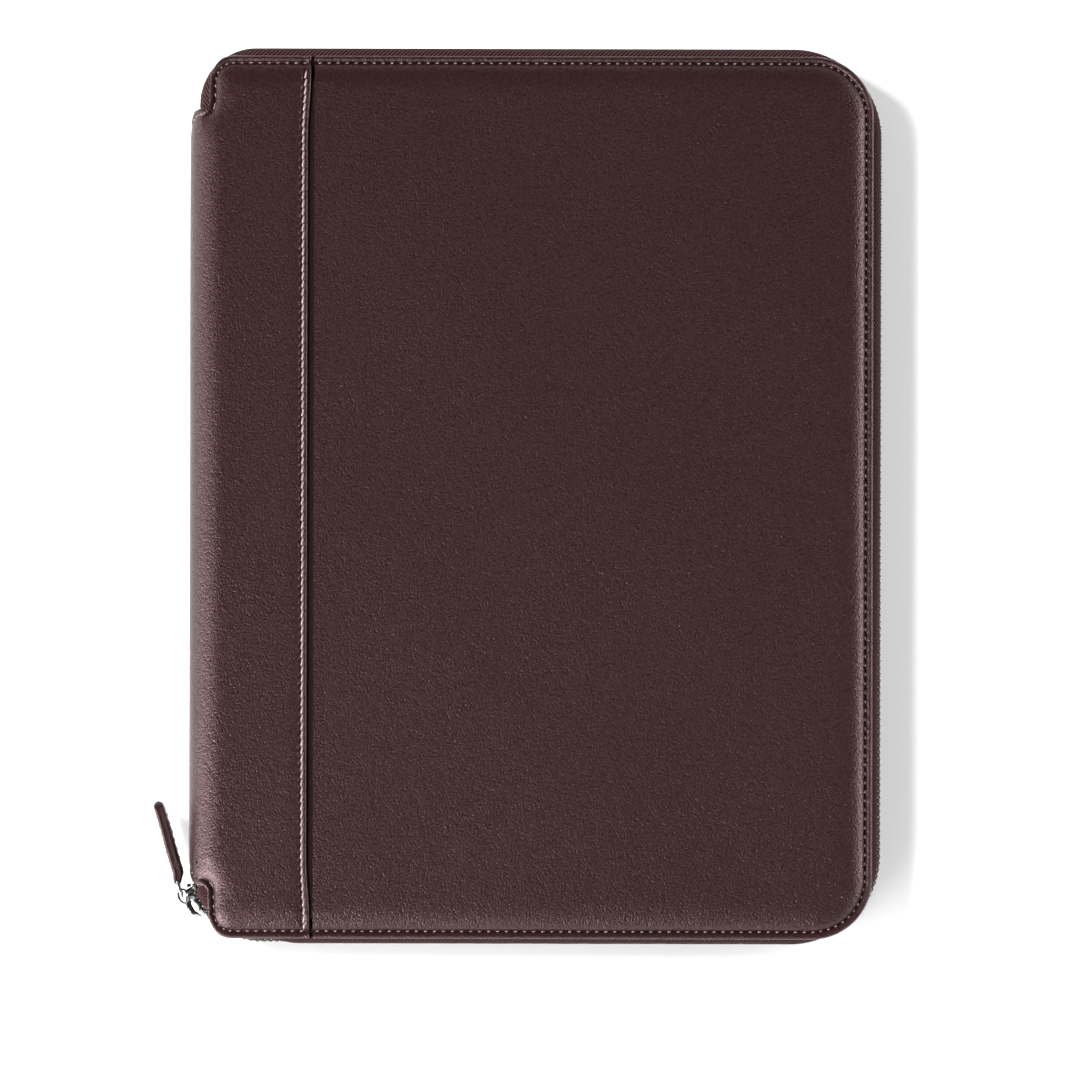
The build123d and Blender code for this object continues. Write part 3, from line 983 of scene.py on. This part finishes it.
def build_linings():
    (points, faces), rim = lining_pattern()
    u, v, inset = points[:, :3].T
    shared = inset < 1e-6
    top = np.where(shared, -0.25, lining_height(u, v, inset))
    bottom = np.where(shared, -0.25, 0.0)
    for side, cover in ((-1, "back_cover"), (1, "front_cover")):
        half = cover.split("_")[0]
        place = placed(LINING_RADIUS, side)
        order = faces if side < 0 else [f[::-1] for f in faces]
        shell = closed_sheet((points, order), top, bottom, shared, place, points[:, :2])
        cloth = mesh_object(f"{half}_lining_cloth", shell[0], shell[1], LINING, shell[2])
        line = stitches(rim, lambda a, b, across, s: -lining_height(a, b, LINING_STITCH),
                        lambda a, b, h: place(a, b, -h), LINING_STITCH)
        sewing = mesh_object(f"{half}_lining_stitches", *line, THREAD_WITH_PAINTED_HIGHLIGHT)
        for piece in (cloth, sewing):
            fold_with(piece)
        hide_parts(*((f"{half}_lining", "spine_lining") if side > 0 else (f"{half}_lining",)))


def build_pocket_lining():
    """The cloth under the front pocket, with a tongue into each end of the opening."""
    low, high = box_mm("front_pocket_lining")
    x0, x1, y1 = low[0], high[0], high[1]
    reach = COVER_END - 0.6
    left, right = FLANK_EDGE + 0.1, POCKET_EDGE - 0.1
    upper = [(right, y1), (right, reach), (left, reach), (left, y1)]
    lower = [(u, -v) for u, v in upper[::-1]]
    corners = [(x0, -y1)] + lower + [(x1, -y1), (x1, y1)] + upper + [(x0, y1)]
    pattern = Pattern()
    radii = (4,) + (0.2,) * 4 + (12.4, 12.4) + (0.2,) * 4 + (4,)
    loop = evenly(rounded_path(corners, radii, closed=True), 1.2)[0][:-1]
    fill(pattern, loop, 5.0)
    points, faces = pattern.finish()
    u, v = points[:, 0], points[:, 1]
    edge = np.array([np.hypot(*(loop - p[:2]).T).min() for p in points])
    shared = edge < 1e-3
    tongue = (u > left - 1) & (u < right + 1) & (np.abs(v) > y1 - 1)
    depth = 1.75 + 1.9 * smooth((np.abs(v) - 151) / 8) * tongue
    outer_face = np.where(shared, depth, depth - 0.25)
    inner_face = np.where(shared, depth, depth + 0.25)
    shell = closed_sheet((points, faces), outer_face, inner_face, shared, facing_in(1), points[:, :2])
    cloth = mesh_object("front_pocket_cloth", shell[0], shell[1], LINING, shell[2])
    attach(cloth, "front_cover")
    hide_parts("front_pocket_lining")


def build_pen_loop():
    """An elastic loop sewn to the back lining."""
    low, high = box_mm("pen_loop")
    middle = (low + high) / 2
    radius = (high[2] - low[2]) / 2 - 0.5
    centre_x = low[0] + radius + 0.5
    turn = np.linspace(-pi / 2, 1.5 * pi - 0.25, 40)
    line = [(high[0] - 0.2 - k, low[2] + 0.5) for k in np.linspace(0, high[0] - 0.4 - centre_x, 6)]
    line += [(centre_x + radius * cos(a), middle[2] + radius * sin(a)) for a in -turn[1:] - pi]
    line = np.array(line)
    across = inward(line) * 0.42
    section = np.vstack([line + across, (line - across)[::-1]])
    width = np.linspace(low[1], high[1], 33)
    rows = []
    for y in width:
        swell = centre_x + (section[:, 0] - centre_x) * (1 + 0.012 * cos(y * 5))
        rows.append(np.column_stack([swell, np.full(len(section), y), section[:, 1]]))
    faces = capped_faces(len(width), len(section))
    uv = grid_points(width, lengths_along(section))[:, ::-1]
    loop = mesh_object("pen_loop_elastic", np.vstack(rows), faces, ELASTIC, uv)
    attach(loop, "back_cover")
    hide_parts("pen_loop")


def build_inside():
    build_linings()
    build_pocket_lining()
    build_pen_loop()
    low, high = box_mm("pad_sleeve")
    inner_panel("pad_sleeve", low, high, (low[2], high[2]), -1, "back_cover")
    low, high = box_mm("document_pocket")
    inner_panel("document_pocket", low, high, (CASE_TOP - high[2], CASE_TOP - low[2]), 1, "front_cover")
    for node in ("card_slot_1", "card_slot_2", "card_slot_3"):
        low, high = box_mm(node)
        depths = CASE_TOP - high[2] - 0.1, CASE_TOP - low[2] + 0.02
        inner_panel(node, low, high, depths, 1, "front_cover")


# ---------------------------------------------------------------- slider, link and leather puller
SLIDER_TILT = radians(30)
SLIDER_PLACE = np.array([SLIDER_CENTRE_X - SLIDER_RADIUS * cos(SLIDER_TILT),
                         ZIP_BOTTOM + SLIDER_RADIUS - SLIDER_RADIUS * sin(SLIDER_TILT), MID_Z])


def axes(angle):
    """Rows: along a direction in plan, to its left, and up."""
    return np.array([(cos(angle), sin(angle), 0), (-sin(angle), cos(angle), 0), (0, 0, 1)])


SLIDER_AXES = axes(SLIDER_TILT + pi / 2)
PULL_AXES = axes(radians(106.8))
LINK_PLACE = SLIDER_PLACE + np.array([4.0, 4.7, 0]) @ SLIDER_AXES
LINK_LENGTH, LINK_HALF, LINK_WIRE = 6.0, 3.9, 0.6
PULLER_PLACE = LINK_PLACE + LINK_LENGTH * PULL_AXES[0]
PULLER_LENGTH, PULLER_THICK = 31.0, 4.2


def lofted(sections):
    """A solid through closed sections with the same number of points."""
    return np.vstack(sections), capped_faces(len(sections), len(sections[0]))


def slider_plate(profile, shift=0.0, length=6.1):
    """One plate with its rolled flanges, as a channel whose ends taper to a leaf."""
    sections = []
    for t in np.sin(np.linspace(-pi / 2, pi / 2, 25)) * 0.995:
        half = 1.6 + 3.2 * (1 - abs(t) ** 2.6)
        outside, inside = (np.array(points) for points in profile(1 - t * t, half, half / 4.8))
        loop = np.vstack([outside, outside[-2::-1] * (1, -1), inside[::-1] * (1, -1), inside[1:]])
        sections.append(np.column_stack([np.full(len(loop), shift + t * length), loop]))
    return lofted(sections)


def inner_profile(bow, half, size):
    """A plain channel: its outside from flange to crown, then its inside back to the flange."""
    crown, wall, tip = 1.9 + 0.45 * bow, 0.95, 0.75
    soft = min(1.1, half * 0.6)
    outside = [(tip, half)] + [(crown - soft + soft * sin(a), half - soft + soft * cos(a))
                               for a in np.linspace(0, pi / 2, 7)]
    outside += [(crown + 0.12, 0.5 * (half - soft)), (crown + 0.18, 0.0)]
    inside = [(crown - wall, 0.0), (crown - wall, 0.5 * (half - soft)), (crown - wall, half - wall),
              (crown - wall - 0.25, half - wall), (tip, half - wall * 0.8)]
    return outside, inside


def outer_profile(bow, half, size):
    """A flange over the coil, a sloping shoulder, and a bowed plate that stands off beyond it."""
    crown, tip = 3.5 + 1.7 * bow, 0.55
    outside = [(tip, half), (1.5, half), (1.85, half - 0.25 * size)]
    outside += [(crown - back, half - drop * size) for back, drop in
                ((2.0, 1.35), (1.75, 1.4), (1.6, 0.7), (1.4, 0.58), (0.3, 0.58), (0.07, 0.7), (0, 1.0))]
    outside += [(crown + 0.08, half * 0.4), (crown + 0.12, 0.0)]
    inside = [(crown - 1.0, 0.0), (crown - 1.0, half * 0.35), (crown - 1.3, half - 2.5 * size),
              (crown - 1.5, half - 2.3 * size), (1.75, half - 1.15 * size), (tip, half - 0.95 * size)]
    return outside, inside


def rounded_block(x, y, z, soft):
    """A block with softened edges."""
    size = np.array([x[1] - x[0], y[1] - y[0], z[1] - z[0]])
    middle = np.array([sum(x), sum(y), sum(z)]) / 2
    ends = ((0, soft), (0, 0.35 * soft), (soft, 0))
    rows = []
    for t, shrink in ends + tuple((size[0] - t, shrink) for t, shrink in ends[::-1]):
        half = size[1:] / 2 - shrink
        corner = [(a * (half[0] - soft * (1 - abs(cos(q)))), b * (half[1] - soft * (1 - abs(sin(q)))))
                  for a, b, qs in ((1, 1, (0, pi / 4, pi / 2)), (-1, 1, (pi / 2, pi / 4, 0)),
                                   (-1, -1, (0, pi / 4, pi / 2)), (1, -1, (pi / 2, pi / 4, 0))) for q in qs]
        rows.append(np.array([(x[0] + t, middle[1] + p, middle[2] + q) for p, q in corner]))
    return lofted(rows)


def band(line, thick, low, high, soft=0.3):
    """A flat band that follows a line in plan and stands between two heights."""
    sections = []
    ring = [(1, low + soft), (1, high - soft), (0.6, high), (-0.6, high), (-1, high - soft), (-1, low + soft),
            (-0.6, low), (0.6, low)]
    for p, n in zip(line, inward(line) * thick / 2):
        sections.append(np.array([(*(p + n * a), z) for a, z in ring]))
    return lofted(sections)


def build_slider():
    outer_plate = slider_plate(outer_profile, -1.6, 4.9)
    inner_plate = slider_plate(inner_profile)
    inner_plate = (inner_plate[0] * (1, -1, 1), [f[::-1] for f in inner_plate[1]])
    blade = rounded_block((2.0, 5.4), (-2.0, 3.0), (-0.5, 0.5), 0.2)
    arch = [(3.6 - 2.6 * cos(a), 4.3 + 1.75 * sin(a)) for a in np.linspace(0, pi, 15)]
    bridge = band(np.array([(0.9, 3.0)] + arch + [(6.1, 3.0), (5.4, 2.4)]), 0.85, -1.7, 1.7)
    points, faces = joined([outer_plate, inner_plate, blade, bridge])
    body = mesh_object("slider_metal_body", points @ SLIDER_AXES + SLIDER_PLACE, faces, METAL)
    sharpen(body)
    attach(body, "slider")
    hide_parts("slider_body")

    corners = [(0, -LINK_HALF), (LINK_LENGTH, -LINK_HALF), (LINK_LENGTH, LINK_HALF), (0, LINK_HALF)]
    loop = evenly(rounded_path(corners, (1.6,) * 4, closed=True), 0.25)[0][:-1]
    line = np.column_stack([loop[:, 0], np.zeros(len(loop)), loop[:, 1]])
    points, faces = tube(line @ PULL_AXES + LINK_PLACE, LINK_WIRE, 12, closed=True)
    ring = mesh_object("pull_link_wire", points, faces, METAL)
    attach(ring, "pull_link")
    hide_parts("pull_link")


SHARP_ANGLE = 38


def sharpen(obj):
    """Keeps true edges crisp under smooth shading."""
    obj.data.set_sharp_from_angle(angle=radians(SHARP_ANGLE))


def strap_lean(x):
    """The strap stands off to one side of its loop."""
    return -1.3 * smooth((x + 0.8) / 4.2)


def strap_half(x):
    """Half-width of the folded strap: narrow over the link, rounded at its far end."""
    neck = 3.1 + 1.4 * smooth((x - 4.6) / 2.6)
    left = PULLER_LENGTH - x
    tip = 3.2
    return neck if left > tip else max(0.4, neck - tip + sqrt(max(tip * tip - (tip - left) ** 2, 0.01)))


def build_puller():
    stations = np.concatenate([-1.32 + 1.32 * (1 - np.cos(np.linspace(0, pi / 2, 6))),
                               np.arange(0.8, PULLER_LENGTH - 3.4, 0.75),
                               PULLER_LENGTH - 3.3 * np.cos(np.linspace(0, pi / 2, 10))])
    sections = []
    for x in stations:
        half = strap_half(x)
        thick = PULLER_THICK / 2 * (sqrt(max(1 - (min(x, 0) / 1.4) ** 2, 0.02)))
        thick *= 0.72 + 0.28 * smooth((x + 0.4) / 3.0)
        thick *= 1 - 0.06 * smooth((x - 8) / 20) + 0.02 * sin(x * 1.7)
        thick *= sqrt(max(1 - (max(x - PULLER_LENGTH + 2.1, 0) / 2.15) ** 2, 0.02))
        ring = []
        for a in np.linspace(0, 2 * pi, 48, endpoint=False):
            c, s = cos(a), sin(a)
            y = thick * np.sign(c) * abs(c) ** 0.45
            z = half * np.sign(s) * abs(s) ** 0.32
            ring.append((x, y, z))
        ring = np.array(ring)
        parting = np.exp(-(ring[:, 1] / 0.22) ** 2) * (np.abs(ring[:, 2]) > half * 0.8)
        ring[:, 2] -= np.sign(ring[:, 2]) * 0.3 * parting
        stitch_line = np.exp(-((half - np.abs(ring[:, 2]) - 1.1) / 0.3) ** 2)
        ring[:, 1] -= np.sign(ring[:, 1]) * 0.12 * stitch_line * (x > 6)
        ring[:, 1] += 0.12 * sin(x / 5.0) + strap_lean(x)
        sections.append(ring)
    points, faces = lofted(sections)
    strap = mesh_object("puller_strap", points @ PULL_AXES + PULLER_PLACE, faces, PULLER_LEATHER)
    lines = []
    for face in (-1, 1):
        for edge in (-1, 1):
            path = evenly(np.array([(6.5, edge * 3.4), (PULLER_LENGTH - 2.4, edge * 3.4)]), STEP)

            def place(u, v, h, face=face):
                middle = 0.12 * np.sin(u / 5.0) + strap_lean(u)
                local = np.stack([u, middle + face * (1.93 - 0.11 * smooth((u - 8) / 20) + h), v], -1)
                return local @ PULL_AXES + PULLER_PLACE
            lines.append(stitches(path, lambda u, v, across, s: 0 * u, place, 0.0, slant=0.1))
    sewing = mesh_object("puller_stitches", *joined(lines), THREAD_WITH_PAINTED_HIGHLIGHT)
    for piece in (strap, sewing):
        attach(piece, "puller")
    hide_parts("leather_puller")


# ---------------------------------------------------------------- camera, light and floor
PHOTO_MM = 402.9                               # how much of the floor the picture is wide
VIEW_X, VIEW_Y = 1.6, -14.1
CAMERA_HEIGHT = 3.0                            # metres, like the floor's size and gap
CAMERA_ROLL = 0.14
SENSOR = 36
FLOOR_SIZE, FLOOR_GAP = 6.0, 0.0002


def build_world():
    """A sky that is bright low down and dark overhead, and brighter towards -y."""
    world = bpy.data.worlds.new("studio")
    bpy.context.scene.world = world
    sky = Nodes(world)
    _, y, z = sky.parts(sky.add("ShaderNodeTexCoord").outputs["Generated"])
    rise, depth = sky.ramp(z, 0.36, 0.67, 1.9, 0.04), sky.ramp(y, -0.7, 0.9, 1.1, 0.5)
    background = sky.tree.nodes["Background"]
    sky.link(sky.math("MULTIPLY", rise, depth), background.inputs["Strength"])
    background.inputs["Color"].default_value = (1, 1, 1, 1)


def build_stage():
    camera_data = bpy.data.cameras.new("camera")
    camera = bpy.data.objects.new("camera", camera_data)
    bpy.context.scene.collection.objects.link(camera)
    camera.location = (VIEW_X * MM, VIEW_Y * MM, CAMERA_HEIGHT)
    camera.rotation_euler = (0, 0, radians(CAMERA_ROLL))
    camera_data.sensor_width = SENSOR
    camera_data.lens = SENSOR * (CAMERA_HEIGHT - CASE_TOP * MM) / (PHOTO_MM * MM)
    bpy.context.scene.camera = camera

    corners = FLOOR_SIZE / MM * np.array([(-1, -1, 0), (1, -1, 0), (1, 1, 0), (-1, 1, 0)])
    floor = mesh_object("floor", corners, [(0, 1, 2, 3)], floor_material(), smooth_shading=False)
    floor.location.z = -FLOOR_GAP

    build_world()
    area_light("key", (-1.85, 0.89, 2.19), 0.85, 0.85, 165).visible_glossy = False
    area_light("low_left", (-1.1, -1.0, 1.35), 0.5, 0.5, 50).visible_diffuse = False
    area_light("left_softbox", (-1.15, -0.8, 0.42), 1.3, 0.6, 38)
    area_light("right_fill", (1.5, 0.1, 0.7), 1.0, 0.5, 26)
    bpy.context.scene.view_settings.view_transform = "Standard"
    bpy.context.scene.view_settings.look = "None"


def area_light(name, place, wide, high, power):
    data = bpy.data.lights.new(name, "AREA")
    data.shape = "RECTANGLE"
    data.size, data.size_y, data.energy = wide, high, power
    light = bpy.data.objects.new(name, data)
    bpy.context.scene.collection.objects.link(light)
    light.location = place
    light.rotation_euler = (-Vector(place)).to_track_quat("-Z", "Y").to_euler()
    return light


for name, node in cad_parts.items():
    node.data.materials.clear()
    node.data.materials.append(METAL if "stop" in name else BOARD)
build_front()
build_back()
build_zip()
build_inside()
build_slider()
build_puller()
build_stage()
